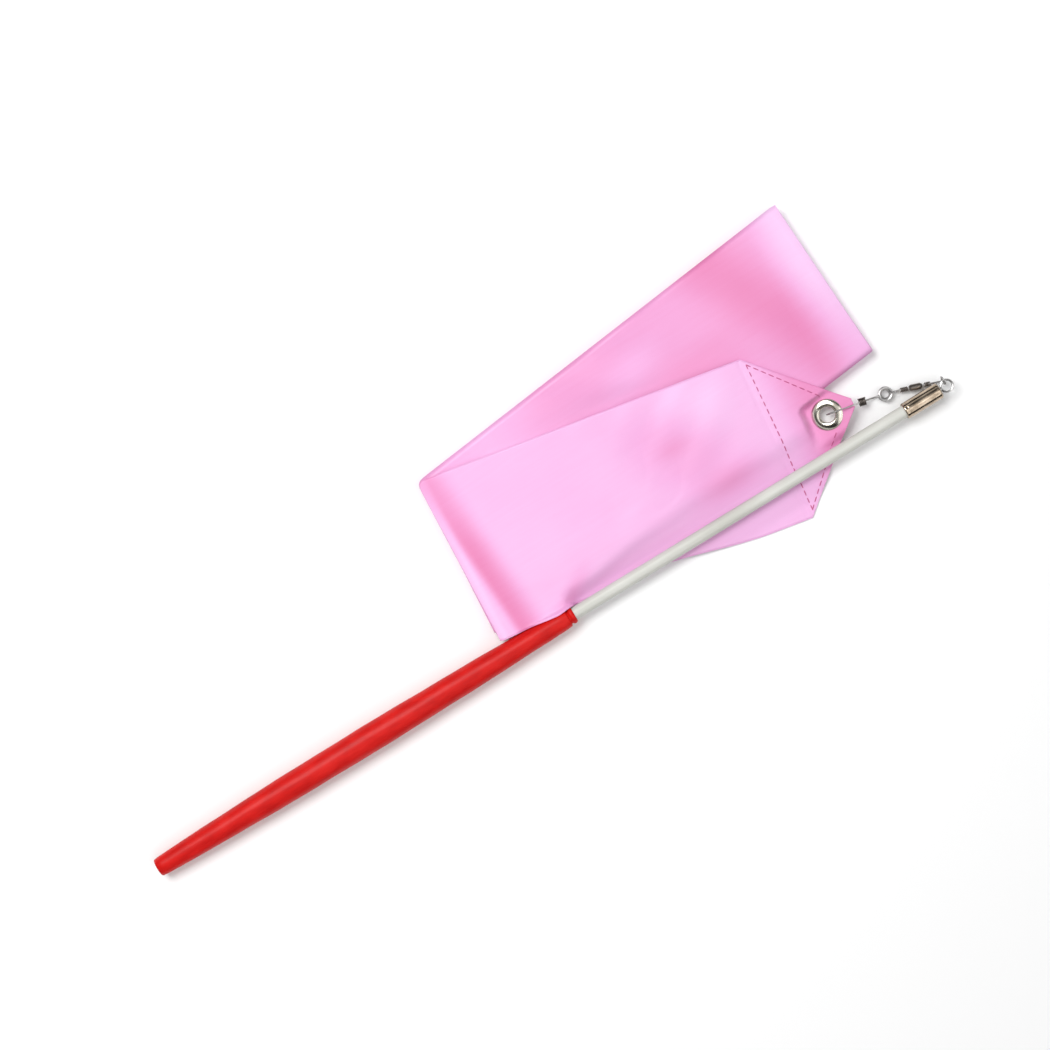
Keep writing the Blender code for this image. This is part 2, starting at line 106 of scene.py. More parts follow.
PIN_HOLE = 0.62  # radius of the ferrule's hole for the tip eye's pin
BARREL_LENGTH = 3.8
SHANK_RADIUS = 0.32
SHANK_WIRE = 0.2  # radius of the wire wound round the shanks
NECK_WIRE = 0.22
EYELET_HOLE = 2.3
EYELET_WALL = 0.35
EYELET_RADIUS = 4.6
CLOTH_HOLE = 2.95  # radius of the hole in the cloth, under the eyelet's flange

# Shape of the ribbon

RIBBON_WIDTH = 50.0
CLOTH = 0.16
CREST_EXTRA = 0.7  # the strand's extra width at its crest
FOLD_CORNER = 1.7  # radius of the rounded corners at the folds
STRAND_MIDDLE = CREST.z + (CREST.z - PACK_TOP)
STRAND_TURN = -10.9
ON_PACK_TO = 212.0  # up to this x the strand is kept above the pack's top
TIP_HEADING = -6.0
TIP_HEIGHT = 24.0
TIP_PITCH = math.degrees(math.acos(TIP_NORMAL.z))
APEX_AHEAD = 7.8
APEX_BLUNT = 2.4
SEAM_RISE = 0.14  # the tip is thicker than the strand, because its cloth is doubled
HEM_RADIUS = 0.13
STITCH_RADIUS = 0.17
STITCH_PITCH = 2.3
PACK_LENGTH = 135.3
PACK_HEADING = 6.23
PACK_FAR_HEADING = 92.3
LAYERS = 15
STEPS_ACROSS = {"strand": 84, "pack": 30}  # from edge to edge of the cloth
TURN_STEPS = 6  # rows in each fold

# The camera: its turn in degrees, and the middle and width of the picture in mm

CAMERA_TURN = -31.45
CAMERA_MIDDLE = (141.3, 29.1)
PICTURE_WIDTH = 301.8


def unit(heading):
    angle = math.radians(heading)
    return Vector((math.cos(angle), math.sin(angle), 0.0))


TIP_WAY = unit(TIP_HEADING)
TIP_SIDE = Vector((-TIP_WAY.y, TIP_WAY.x, 0.0))
APEX = Vector((EYELET.x, EYELET.y, 0.0)) + APEX_AHEAD * TIP_WAY
CREST_LOWER = Vector((CREST.x, CREST.y, 0.0)) - RIBBON_WIDTH / 2 * CREST_WAY
CREST_UPPER = CREST_LOWER + (RIBBON_WIDTH + CREST_EXTRA) * CREST_WAY
LOW_CORNER = APEX - TIP_HEIGHT * TIP_WAY - RIBBON_WIDTH / 2 * TIP_SIDE
HIGH_CORNER = APEX - TIP_HEIGHT * TIP_WAY + RIBBON_WIDTH / 2 * TIP_SIDE


def smooth(x, low, high):
    """0 below low, 1 above high, and a smooth step between."""
    t = min(max((x - low) / (high - low), 0.0), 1.0)
    return t * t * (3.0 - 2.0 * t)


def bump(x, middle, half):
    """A rounded bump of height 1 at middle, and 0 beyond half either side."""
    t = abs(x - middle) / half
    return 0.5 + 0.5 * math.cos(math.pi * t) if t < 1.0 else 0.0


def corner(s):
    """How far a rounded corner stands in from the edge, at s mm from the fold."""
    if s >= FOLD_CORNER:
        return 0.0
    return FOLD_CORNER - math.sqrt(FOLD_CORNER**2 - (FOLD_CORNER - s) ** 2)


def places_along(near, length, steps):
    """Distances from a fold: the near ones, which follow its corner, and then even steps."""
    return near + [FOLD_CORNER + (length - FOLD_CORNER) * i / steps for i in range(steps + 1)]


# Materials


class Nodes:
    """A short way to write a material's nodes."""

    def __init__(self, name):
        self.material = bpy.data.materials.new(name)
        self.material.use_nodes = True
        self.tree = self.material.node_tree
        self.shader = self.tree.nodes["Principled BSDF"]
        self.place = self.add("ShaderNodeTexCoord").outputs["Object"]

    def add(self, kind, **settings):
        node = self.tree.nodes.new(kind)
        for key, value in settings.items():
            if hasattr(node, key):
                setattr(node, key, value)
            else:
                node.inputs[key.replace("_", " ").capitalize()].default_value = value
        return node

    def link(self, a, b):
        self.tree.links.new(a, b)

    def fixed(self, **values):
        for key, value in values.items():
            socket = key.replace("_", " ").title().replace("Ior", "IOR")
            self.shader.inputs[socket].default_value = value

    def stretched(self, scale=(1.0, 1.0, 1.0), turn=0.0):
        """The place on the piece, scaled and then turned in degrees about Z."""
        mapping = self.add("ShaderNodeMapping")
        mapping.inputs["Scale"].default_value = scale
        mapping.inputs["Rotation"].default_value = (0.0, 0.0, math.radians(turn))
        self.link(self.place, mapping.inputs["Vector"])
        return mapping.outputs["Vector"]

    def noise(self, vector, scale, detail=3.0, roughness=0.5):
        node = self.add("ShaderNodeTexNoise", scale=scale, detail=detail, roughness=roughness)
        self.link(vector, node.inputs["Vector"])
        return node.outputs["Fac"]

    def wave(self, vector, scale, distortion, direction="X"):
        node = self.add("ShaderNodeTexWave", scale=scale, distortion=distortion)
        node.bands_direction = direction
        self.link(vector, node.inputs["Vector"])
        return node.outputs["Fac"]

    def ramp(self, factor, *stops):
        """stops are (position, color)."""
        node = self.add("ShaderNodeValToRGB")
        marks = node.color_ramp.elements
        while len(marks) < len(stops):
            marks.new(0.5)
        for mark, (at, color) in zip(marks, stops):
            mark.position = at
            mark.color = (*color, 1.0)
        self.link(factor, node.inputs["Fac"])
        return node.outputs["Color"]

    def range(self, factor, low, high):
        """A factor from 0 to 1, spread from low to high."""
        node = self.add("ShaderNodeMapRange")
        node.inputs["To Min"].default_value = low
        node.inputs["To Max"].default_value = high
        self.link(factor, node.inputs["Value"])
        return node.outputs["Result"]

    def mixed(self, a, b, share):
        """a and b together, where b has the share."""
        node = self.add("ShaderNodeMix")
        node.data_type = "FLOAT"
        node.inputs[0].default_value = share
        self.link(a, node.inputs[2])
        self.link(b, node.inputs[3])
        return node.outputs[0]

    def color(self, output):
        self.link(output, self.shader.inputs["Base Color"])

    def rough(self, output):
        self.link(output, self.shader.inputs["Roughness"])

    def height(self, output, distance, strength):
        """A bump whose full height is distance in metres."""
        node = self.add("ShaderNodeBump")
        node.inputs["Strength"].default_value = strength
        node.inputs["Distance"].default_value = distance
        self.link(output, node.inputs["Height"])
        self.link(node.outputs["Normal"], self.shader.inputs["Normal"])


def satin(name, turn):
    """Pink satin: fine weave across the ribbon, soft streaks, a silky sheen, and painted highlights and
    shade in its colour.
    """
    n = Nodes(name)
    even = n.stretched(turn=turn)
    across = n.stretched((60.0, 900.0, 60.0), turn)
    cloudy = n.noise(even, 26.0)
    streaks = n.noise(across, 1.0, 4.0, 0.6)
    # The colour is mostly the painted highlights and shade stored on the cloth, with about a quarter of
    # random cloudy streaks mixed in.
    painted_highlight_and_shade = n.add("ShaderNodeAttribute", attribute_name="painted_light").outputs["Fac"]
    painted_light = n.mixed(painted_highlight_and_shade, n.mixed(cloudy, streaks, 0.35), 0.24)
    # The ramp runs from a painted-shade pink (deep) to a painted-highlight pink (pale).
    deep, rose = (0.68, 0.145, 0.34), (0.75, 0.255, 0.50)
    pink, pale = (0.81, 0.385, 0.68), (0.85, 0.55, 0.83)
    n.color(n.ramp(painted_light, (0.12, deep), (0.36, rose), (0.62, pink), (0.9, pale)))
    n.rough(n.range(streaks, 0.30, 0.44))
    weft = n.wave(even, 1400.0, 0.4, "X")
    warp = n.wave(even, 1000.0, 0.4, "Y")
    n.height(n.mixed(n.mixed(weft, warp, 0.4), streaks, 0.35), 0.00003, 0.55)
    n.fixed(sheen_weight=0.08, sheen_roughness=0.35, anisotropic=0.45, specular_ior_level=0.4)
    n.fixed(sheen_tint=(1.0, 0.78, 0.95, 1.0))
    return n.material


def grip_plastic():
    """Red soft plastic, a little cloudy, with long scuffs that make it duller."""
    n = Nodes("grip_soft_plastic")
    cloudy = n.noise(n.stretched((0.35, 1.0, 1.0)), 420.0)
    scuffs = n.noise(n.stretched((12.0, 1.0, 1.0)), 160.0, 5.0, 0.7)
    dark, red, light = (0.50, 0.004, 0.003), (0.60, 0.007, 0.005), (0.66, 0.013, 0.010)
    n.color(n.ramp(cloudy, (0.3, dark), (0.55, red), (0.75, light)))
    n.rough(n.range(scuffs, 0.36, 0.56))
    n.height(n.mixed(cloudy, scuffs, 0.25), 0.00012, 0.5)
    n.fixed(coat_weight=0.05, coat_roughness=0.2, specular_ior_level=0.16)
    return n.material


def rod_white():
    """Off-white fibre rod, with faint streaks along it."""
    n = Nodes("rod_fibre_white")
    fibres = n.noise(n.stretched((14.0, 900.0, 900.0)), 1.0, 4.0, 0.6)
    cloudy = n.noise(n.stretched(), 55.0, 2.0)
    n.color(n.ramp(n.mixed(fibres, cloudy, 0.5), (0.3, (0.52, 0.52, 0.47)), (0.7, (0.70, 0.70, 0.66))))
    n.rough(n.range(fibres, 0.34, 0.52))
    n.height(fibres, 0.00004, 0.4)
    n.fixed(coat_weight=0.12, coat_roughness=0.25, specular_ior_level=0.3)
    return n.material


def metal(name, dark, light, low, high, grain=0.35):
    """Drawn metal, stained from dark to light, with its roughness from low to high."""
    n = Nodes(name)
    drawn = n.noise(n.stretched((1.0, 7.0, 7.0)), 900.0, 4.0, 0.6)
    stains = n.noise(n.stretched(), 340.0)
    n.color(n.ramp(n.mixed(drawn, stains, 0.5), (0.3, dark), (0.65, light)))
    n.rough(n.range(stains, low, high))
    n.height(drawn, 0.00002, grain)
    n.fixed(metallic=1.0)
    return n.material


def thread():
    """Twisted thread, a darker pink than the satin."""
    n = Nodes("stitching_thread")
    twist = n.wave(n.stretched(turn=30.0), 2600.0, 0.5)
    n.color(n.ramp(twist, (0.2, (0.46, 0.07, 0.20)), (0.8, (0.66, 0.16, 0.36))))
    n.rough(n.range(twist, 0.5, 0.7))
    n.height(twist, 0.00003, 0.6)
    n.fixed(sheen_weight=0.3)
    return n.material


# Making pieces


def new_object(name, mesh, mat, body):
    """A piece that rides on a CAD body."""
    obj = bpy.data.objects.new(name, mesh)
    bpy.context.scene.collection.objects.link(obj)
    obj.data.materials.append(mat)
    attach(obj, body)
    return obj


def shade(mesh, angle=40.0):
    """Smooth shading, with edges sharper than angle left sharp."""
    mesh.shade_smooth()
    mesh.set_sharp_from_angle(angle=math.radians(angle))


def mesh_of(name, build):
    """A mesh filled by build(work), with its faces turned outwards."""
    mesh = bpy.data.meshes.new(name)
    work = bmesh.new()
    build(work)
    bmesh.ops.remove_doubles(work, verts=work.verts, dist=1e-7)
    bmesh.ops.recalc_face_normals(work, faces=work.faces)
    work.to_mesh(mesh)
    work.free()
    return mesh


def turned(name, profile, at, way, mat, body, segments=96, wobble=None, closed=False):
    """A turned piece. The profile is (radius, height) in mm along way."""
    turn = Vector(way).to_track_quat("Z", "Y").to_matrix()

    def build(work):
        rings = []
        for r, z in profile:
            ring = []
            for i in range(segments):
                angle = 2.0 * math.pi * i / segments
                radius = r * (1.0 + (wobble(z, angle) if wobble else 0.0))
                spot = Vector((radius * math.cos(angle), radius * math.sin(angle), z))
                ring.append(work.verts.new((Vector(at) + turn @ spot) * MM))
            rings.append(ring)
        pairs = list(zip(rings, rings[1:]))
        if closed:
            pairs.append((rings[-1], rings[0]))
        for a, b in pairs:
            for i in range(segments):
                k = (i + 1) % segments
                work.faces.new((a[i], a[k], b[k], b[i]))
        if not closed:
            work.faces.new(rings[0])
            work.faces.new(rings[-1])

    mesh = mesh_of(name, build)
    shade(mesh)
    return new_object(name, mesh, mat, body)


def tube_faces(work, points, radius, sides=14, wide=1.0):
    """A wire along points in mm, added to work. It is wide times as broad as it is thick."""
    rings = []
    ahead = (points[1] - points[0]).normalized()
    side = ahead.cross(Z_AXIS if abs(ahead.z) < 0.9 else X_AXIS).normalized()
    last = len(points) - 1
    for i, p in enumerate(points):
        way = (points[min(i + 1, last)] - points[max(i - 1, 0)]).normalized()
        side = (side - side.dot(way) * way).normalized()
        up = way.cross(side)
        ring = []
        for k in range(sides):
            angle = 2.0 * math.pi * k / sides
            arm = wide * math.cos(angle) * side + math.sin(angle) * up
            ring.append(work.verts.new((p + radius * arm) * MM))
        rings.append(ring)
    for a, b in zip(rings, rings[1:]):
        for k in range(sides):
            m = (k + 1) % sides
            work.faces.new((a[k], a[m], b[m], b[k]))
    work.faces.new(rings[0])
    work.faces.new(rings[-1])


def wire(name, points, radius, mat, body, sides=14, wide=1.0):
    """A piece that is one wire, as tube_faces makes it."""
    mesh = mesh_of(name, lambda work: tube_faces(work, points, radius, sides, wide))
    shade(mesh, 60.0)
    return new_object(name, mesh, mat, body)


def coil(at, way, radius, length, turns):
    """Points in mm of a helix that starts at a place and winds along way."""
    steps_a_turn = 28
    turn = Vector(way).to_track_quat("Z", "Y").to_matrix()
    count = int(turns * steps_a_turn)
    points = []
    for i in range(count + 1):
        angle = 2.0 * math.pi * turns * i / count
        spot = Vector((radius * math.cos(angle), radius * math.sin(angle), length * i / count))
        points.append(Vector(at) + turn @ spot)
    return points


def paint(mesh, painted_light):
    """Stores the satin's painted highlights and shade at each point, given as a function of x and y in mm.
    """
    tones = mesh.attributes.new("painted_light", "FLOAT", "POINT")
    for vertex in mesh.vertices:
        tones.data[vertex.index].value = painted_light(vertex.co.x / MM, vertex.co.y / MM)


def cloth_grid(name, rows, mat, body, painted_light, keep=None):
    """Cloth whose middle goes through rows of points in mm. keep(p) is False where it has a hole."""

    def build(work):
        grid = [[work.verts.new(p * MM) for p in row] for row in rows]
        for a, b in zip(grid, grid[1:]):
            for j in range(len(a) - 1):
                middle = (a[j].co + b[j + 1].co) / 2 / MM
                if keep is None or keep(middle):
                    work.faces.new((a[j], b[j], b[j + 1], a[j + 1]))
        loose = [v for v in work.verts if not v.link_faces]
        bmesh.ops.delete(work, geom=loose, context="VERTS")

    mesh = mesh_of(name, build)
    shade(mesh, 70.0)
    # Painted highlights and shade, stored for the satin's colour.
    paint(mesh, painted_light)
    obj = new_object(name, mesh, mat, body)
    shell = obj.modifiers.new("cloth", "SOLIDIFY")
    shell.thickness = CLOTH * MM
    shell.offset = 0.0
    return obj


# The wand


def grip_radius(x):
    """The grip's radius at x: thin at the butt, fattest at GRIP_MAX_AT, thin again in front."""
    if x < GRIP_MAX_AT:
        share = 1.0 - x / GRIP_MAX_AT
        return GRIP_MAX_RADIUS - (GRIP_MAX_RADIUS - GRIP_BUTT_RADIUS) * share**2.2
    share = min((x - GRIP_MAX_AT) / (GRIP_LENGTH - GRIP_MAX_AT), 1.0)
    return GRIP_MAX_RADIUS - (GRIP_MAX_RADIUS - GRIP_FRONT_RADIUS) * share**1.7


def make_grip(mat):
    """The sleeve: square butt with a dished end, long swell, groove and lip in front."""
    body_start, body_steps = 0.45, 90
    body_end = GRIP_LENGTH - LIP_LENGTH
    profile = [(0.02, 0.5), (1.2, 0.45), (1.9, 0.25), (2.1, 0.06), (2.3, 0.0), (2.5, 0.05), (2.66, 0.22)]
    for i in range(1, body_steps):
        x = body_start + (body_end - body_start) * i / body_steps
        profile.append((grip_radius(x), x))
    profile += [(grip_radius(body_end) - 0.15, body_end + 0.05), (GRIP_LIP - 0.35, body_end + 0.35)]
    profile += [(GRIP_LIP - 0.45, body_end + 0.6), (GRIP_LIP - 0.2, body_end + 0.85)]
    profile += [(GRIP_LIP, body_end + 1.15), (GRIP_LIP + 0.02, body_end + 1.6)]
    profile += [(GRIP_LIP - 0.12, GRIP_LENGTH - 0.2), (ROD_RADIUS + 0.25, GRIP_LENGTH)]
    profile += [(ROD_RADIUS + 0.12, GRIP_LENGTH - 0.4), (ROD_RADIUS + 0.1, GRIP_LENGTH - 1.5)]

    def wobble(x, angle):
        soft = 0.010 * math.sin(x * 0.19 + 2.0 * angle) + 0.006 * math.sin(x * 0.47 - angle)
        return soft * smooth(x, 4.0, 20.0) * (1.0 - smooth(x, body_end - 8.0, body_end))

    grip = turned("grip_sleeve", profile, (0, 0, 0), X_AXIS, mat, "wand", 72, wobble)
    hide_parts("grip")


def make_rod(mat):
    """A straight rod, chamfered in front."""
    start, end = ROD_LOW.x, ROD_HIGH.x
    steps, chamfer = 60, 0.2
    profile = [(0.3, start), (ROD_RADIUS, start)]
    profile += [(ROD_RADIUS, start + (end - start) * i / steps) for i in range(1, steps)]
    profile += [(ROD_RADIUS, end - chamfer), (ROD_RADIUS - chamfer, end)]
    rod = turned("rod_shaft", profile, (0, 0, 0), X_AXIS, mat, "wand", 64)
    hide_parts("rod")


def make_ferrule(mat):
    """A drawn tube with a chamfered mouth, a shallow groove behind it and a rounded nose."""
    start, end, r = FERRULE_LOW.x, FERRULE_HIGH.x, FERRULE_RADIUS
    bore = ROD_RADIUS + 0.12
    length = end - start
    wall_start, wall_length, wall_steps = 0.3, length - 0.9, 60
    groove_depth, taper = 0.05, 0.04
    profile = [(bore, wall_start), (bore + 0.05, 0.02), (r - 0.22, 0.0), (r - 0.06, 0.12), (r, wall_start)]
    for i in range(1, wall_steps):
        z = wall_start + wall_length * i / wall_steps
        groove = groove_depth * bump(z, 1.1, 0.35)
        profile.append((r - groove - taper * smooth(z, length - 3.0, length - 1.0), z))
    profile += [(r, length - 0.5), (r - 0.08, length - 0.25), (r - 0.3, length - 0.04), (r - 0.55, length)]
    profile += [(PIN_HOLE, length), (PIN_HOLE, length - 0.5), (bore, length - 0.55)]
    ferrule = turned("ferrule_tube", profile, (start, 0, 0), X_AXIS, mat, "wand", closed=True)
    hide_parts("ferrule")


# The ribbon


def patch(x, y, middle, half, slant=0.0, flat=1.0):
    """A patch of height 1 at middle, half wide along x, that leans with slant and is flat times thinner."""
    away = y - middle[1]
    return bump(math.hypot(x - middle[0] + slant * away, flat * away), 0.0, half)


def strand_painted_light(x, y):
    """Painted light on the strand from 0 to 1, painted shade to painted highlight: painted shading over the
    soft folds, a painted highlight on the crest with a dark line of painted shade inside it, and painted
    shade over the tip.
    """
    inside = x - CREST_LOWER.x - 0.063 * (y - CREST_LOWER.y)
    line = 6.3 - 0.11 * (y - 15.0)
    # A painted highlight on the rolled crest, and a line of painted shade just inside it.
    crest_light = 0.14 * bump(inside, 1.7, 1.6)
    crest_shade_line = (0.62 - 0.20 * smooth(y, 25.0, 50.0)) * bump(inside, line, 3.4 if inside < line else 9.0)
    # Patches of painted shade before the tip and beside the rod, and a painted highlight by the upper edge.
    shade_before_tip = 0.20 * patch(x, y, (190.0, 24.0), 19.0, slant=0.6, flat=0.8)
    shade_before_tip += 0.10 * patch(x, y, (189.0, 26.0), 8.0, flat=1.6)
    shade_beside_rod = 0.25 * bump(x, 198.0, 18.0) * bump(y, 9.0, 7.0)
    upper_light = 0.12 * patch(x, y, (204.0, 33.0), 13.0)
    # Painted shade where the strand leaves the grip.
    shade_by_grip = 0.24 * bump(x, 142.0, 12.0) * bump(y - 0.5 * (x - 142.0), 5.0, 4.5)
    painted_light = 0.78 + crest_light - crest_shade_line - shade_before_tip - shade_beside_rod + upper_light - shade_by_grip
    # Painted shade over the tip.
    return painted_light - 0.48 * smooth(x, 217.0, 231.0)


def pack_painted_light(x, y):
    """The pack's top is painted darker overall, with painted highlights near the crest and in the middle,
    painted shade beside the strand, and a dark band of painted shade before a bright band of painted
    highlight at its far end.
    """
    # Painted highlights near the crest and in the middle, painted shade in a band and beside the strand, a
    # painted highlight band at the far end.
    near_light = 0.22 * bump(x, 144.0, 24.0) * smooth(y, 34.0, 50.0)
    shade_band = 0.28 * bump(x + 0.5 * (y - 56.0), 229.0, 17.0)
    shade_by_strand = 0.16 * bump(x, 206.0, 24.0) * (1.0 - smooth(y, 42.0, 52.0))
    middle_light = 0.16 * bump(x - 0.5 * (y - 50.0), 190.0, 14.0) * bump(y, 51.0, 9.0)
    far_highlight = 0.48 * smooth(x, 237.0, 249.0)
    return 0.50 + near_light - shade_band - shade_by_strand + middle_light + far_highlight


def pack_edge(x):
    """The y of the pack's lower edge."""
    return CREST_LOWER.y + 0.3 + (x - CREST_LOWER.x) * math.tan(math.radians(PACK_HEADING))


def over_grip(x, y):
    """The height at which cloth lies on the grip, or a low number away from it."""
    radius = grip_radius(min(x, GRIP_LENGTH)) + 0.35
    return math.sqrt(radius**2 - y**2) if abs(y) < radius else -50.0


def strand_height(x, y):
    """The middle of the strand's cloth: on the pack, under the rod, up at its tip."""
    rod_side = ROD_RADIUS + 0.4
    under_rod = -ROD_RADIUS - 0.45
    ground = FLOOR + 0.35
    low = under_rod + (ground - under_rod) * smooth(-y, rod_side, 9.0)
    lap = min(pack_edge(x), 12.5)
    drooped = low + (STRAND_MIDDLE - low) * smooth(y, rod_side, lap - 0.4)
    past_grip = smooth(x, GRIP_LENGTH - 1.5, GRIP_LENGTH + 3.0)
    z = STRAND_MIDDLE + (drooped - STRAND_MIDDLE) * past_grip
    if x < GRIP_LENGTH + 1.0:
        lift = over_grip(x, y)
        z = max(z, lift + (z - lift) * past_grip) if lift > z else z
    spot = Vector((x - EYELET.x, y - EYELET.y, 0.0))
    plane = EYELET.z + spot.dot(TIP_WAY) * math.tan(math.radians(TIP_PITCH))
    near = 1.0 - smooth(spot.length, 8.4, 15.0)
    near *= smooth(y, rod_side, 5.0) * smooth(spot.dot(TIP_WAY), -8.0, -4.7)
    near *= 1.0 - smooth(y, pack_edge(x) - 2.0, pack_edge(x) - 0.3)
    return z + (plane - z) * near


def strand_waves(x, y, u):
    """Soft waves of the satin, which fade out at the tip, the rod and the crest, where u is 0."""
    swell = 0.75 * bump(x, 203.0, 26.0) * bump(y, 33.0, 17.0)
    swell += 0.55 * math.sin(0.085 * (x + 0.9 * y) + 0.6) * bump(x, 165.0, 50.0)
    swell += 0.16 * math.sin(0.34 * x - 0.42 * y) * bump(x, 190.0, 45.0)
    crease = 0.45 * bump(y - 3.0 - 0.10 * (x - 137.0), 1.6, 2.4) * bump(x, 150.0, 16.0)
    pulled = 0.35 * bump(x + 0.30 * y, 138.0, 14.0)
    off_rod = smooth(y, 6.0, 16.0)
    off_tip = 1.0 - smooth(x, 205.0, 226.0)
    off_crest = smooth(u, 0.03, 0.14)
    return ((swell + pulled) * off_rod + crease) * off_tip * off_crest


def strand_rows(body_rows=170, tip_rows=56):
    """Rows of points from the crest to the tip, each from the lower to the upper edge."""
    radius = STRAND_MIDDLE - CREST.z
    low = CREST_LOWER - 0.6 * CREST_WAY
    high = CREST_UPPER - FOLD_CORNER * CREST_WAY
    rows = []
    for i in range(TURN_STEPS):
        angle = math.pi / 2 * i / TURN_STEPS
        ahead = radius - radius * math.cos(angle)
        height = CREST.z + radius * math.sin(angle)
        rows.append(cloth_row(low + ahead * X_AXIS, high + ahead * X_AXIS, height, STEPS_ACROSS["strand"]))
    length = (LOW_CORNER - CREST_LOWER).length
    for s in places_along([0.0, 0.08, 0.2, 0.4, 0.7, 1.1], length, body_rows):
        u = s / length
        a, b = CREST_LOWER.lerp(LOW_CORNER, u), CREST_UPPER.lerp(HIGH_CORNER, u)
        a += 0.12 * corner(s) * CREST_WAY
        b -= corner(s) * CREST_WAY
        a.x += radius * (1.0 - u)
        b.x += radius * (1.0 - u)
        off_lip = 0.7 * smooth(a.x, 135.5, 140.5) * (1.0 - smooth(a.x, 141.5, 149.0))
        bow = 3.0 * bump(a.x, 166.0, 36.0)
        lap = 0.8 * (1.0 - smooth(a.x, 118.0, 130.0))
        a.y += off_lip + bow - lap
        rows.append(strand_row(a, b, u))
    blunt = APEX_BLUNT / 2 * TIP_SIDE
    for i in range(1, tip_rows + 1):
        share = i / tip_rows
        a, b = LOW_CORNER.lerp(APEX - blunt, share), HIGH_CORNER.lerp(APEX + blunt, share)
        rows.append(strand_row(a, b, 1.0 + share))
    return rows


def cloth_row(a, b, z, steps, shape=None):
    """Points in mm from a to b at one height, plus shape(x, y) where it is given."""
    points = []
    for j in range(steps + 1):
        p = a.lerp(b, j / steps)
        p.z = z + (shape(p.x, p.y) if shape else 0.0)
        points.append(p)
    return points


def strand_row(a, b, u):
    """A row of the strand from a to b, at its height, with its waves and the tip's seam."""
    points = []
    for j in range(STEPS_ACROSS["strand"] + 1):
        p = a.lerp(b, j / STEPS_ACROSS["strand"])
        p.z = strand_height(p.x, p.y) + strand_waves(p.x, p.y, u)
        past_seam = (p - APEX).dot(TIP_WAY) + TIP_HEIGHT
        p.z += SEAM_RISE * smooth(past_seam, -0.4, 0.2) - 0.16 * bump(past_seam, -0.6, 0.9)
        if p.y > pack_edge(p.x) and p.x < ON_PACK_TO:
            p.z = max(p.z, PACK_TOP + 0.2)
        points.append(p)
    return points


def make_strand(mat, stitching):
    """The strand's cloth, the rolled hem on each long edge, and the stitches at its tip."""
    rows = strand_rows()

    def outside_eyelet(p):
        arm = p - EYELET
        arm -= arm.dot(TIP_NORMAL) * TIP_NORMAL
        return arm.length > CLOTH_HOLE

    # The strand's colour carries its painted highlights and shade.
    strand = cloth_grid("ribbon_strand_satin", rows, mat, "strand_body", strand_painted_light, outside_eyelet)
    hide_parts("ribbon_strand")
    for name, edge in (("lower", 0), ("upper", -1)):
        points = [row[edge].copy() for row in rows[TURN_STEPS::2]]
        hem = wire("strand_hem_" + name, points, HEM_RADIUS, mat, "strand_body", sides=8)
        # The hems carry the strand's painted highlights and shade, a little darker.
        paint(hem.data, lambda x, y: strand_painted_light(x, y) - 0.03)
    make_stitches(stitching)


def stitch(start, end):
    """Points of one stitch, which dips into the cloth at both ends."""
    steps, dip = 5, 0.16
    points = []
    for k in range(steps + 1):
        p = start.lerp(end, k / steps)
        height = strand_height(p.x, p.y) + SEAM_RISE + CLOTH / 2 + 0.05
        points.append(Vector((p.x, p.y, height - dip * abs(2.0 * k / steps - 1.0) ** 3)))
    return points


def make_stitches(mat):
    """Dashed rows of stitches: across the tip's base, and inside both of its edges."""
    base_low = LOW_CORNER.lerp(HIGH_CORNER, 0.03) + TIP_WAY
    base_high = LOW_CORNER.lerp(HIGH_CORNER, 0.97) + TIP_WAY
    inset, eyelet_clear = 1.7, 5.2
    ahead = APEX - 2.6 * TIP_WAY
    low = LOW_CORNER + inset * (TIP_SIDE + 0.4 * TIP_WAY)
    high = HIGH_CORNER - inset * (TIP_SIDE - 0.4 * TIP_WAY)
    middle = Vector((EYELET.x, EYELET.y, 0.0))
    lines = {"seam": (base_low, base_high), "lower_edge": (low, ahead), "upper_edge": (high, ahead)}
    for name, (a, b) in lines.items():
        count = int((b - a).length / STITCH_PITCH)
        dashes = [(a.lerp(b, (i + 0.15) / count), a.lerp(b, (i + 0.80) / count)) for i in range(count)]
        dashes = [(p, q) for p, q in dashes if ((p + q) / 2 - middle).length >= eyelet_clear]

        def build(work, dashes=dashes):
            for start, end in dashes:
                tube_faces(work, stitch(start, end), STITCH_RADIUS, sides=6)

        mesh = mesh_of("tip_stitches_" + name, build)
        shade(mesh, 60.0)
        new_object("tip_stitches_" + name, mesh, mat, "strand_body")


def pack_slips():
    """How far each fold stands in and how skewed it is, and how far each layer slips sideways."""
    random.seed(7)
    folds = [(random.uniform(0.2, 1.9), random.uniform(-0.5, 0.5)) for _ in range(LAYERS + 1)]
    return folds, [0.0] + [random.uniform(-0.45, 0.45) for _ in range(LAYERS)]


